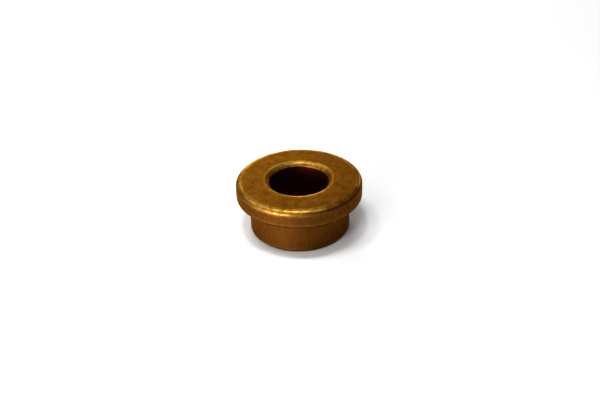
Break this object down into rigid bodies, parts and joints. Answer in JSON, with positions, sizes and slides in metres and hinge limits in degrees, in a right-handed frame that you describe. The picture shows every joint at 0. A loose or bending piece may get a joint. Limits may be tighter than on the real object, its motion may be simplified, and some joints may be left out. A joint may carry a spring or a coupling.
{
  "type": "flanged sleeve bushing",
  "caption": "Flanged plain bearing bush in sintered bronze: a thick-walled sleeve with a chamfered through bore and a round flange that takes the end thrust of a shaft.",
  "frame": {"origin": "centre of the sleeve's end face, on the bore axis", "axes": "+Z along the bore axis, from the sleeve's end towards the flange's thrust face; the bush is round, so X and Y are any two directions square to it"},
  "size_m": [0.03, 0.03, 0.013],
  "materials": {
    "sintered_bronze": "satin"
  },
  "bodies": {
    "root": {"flanged_bushing": "sintered_bronze"}
  },
  "joints": []
}
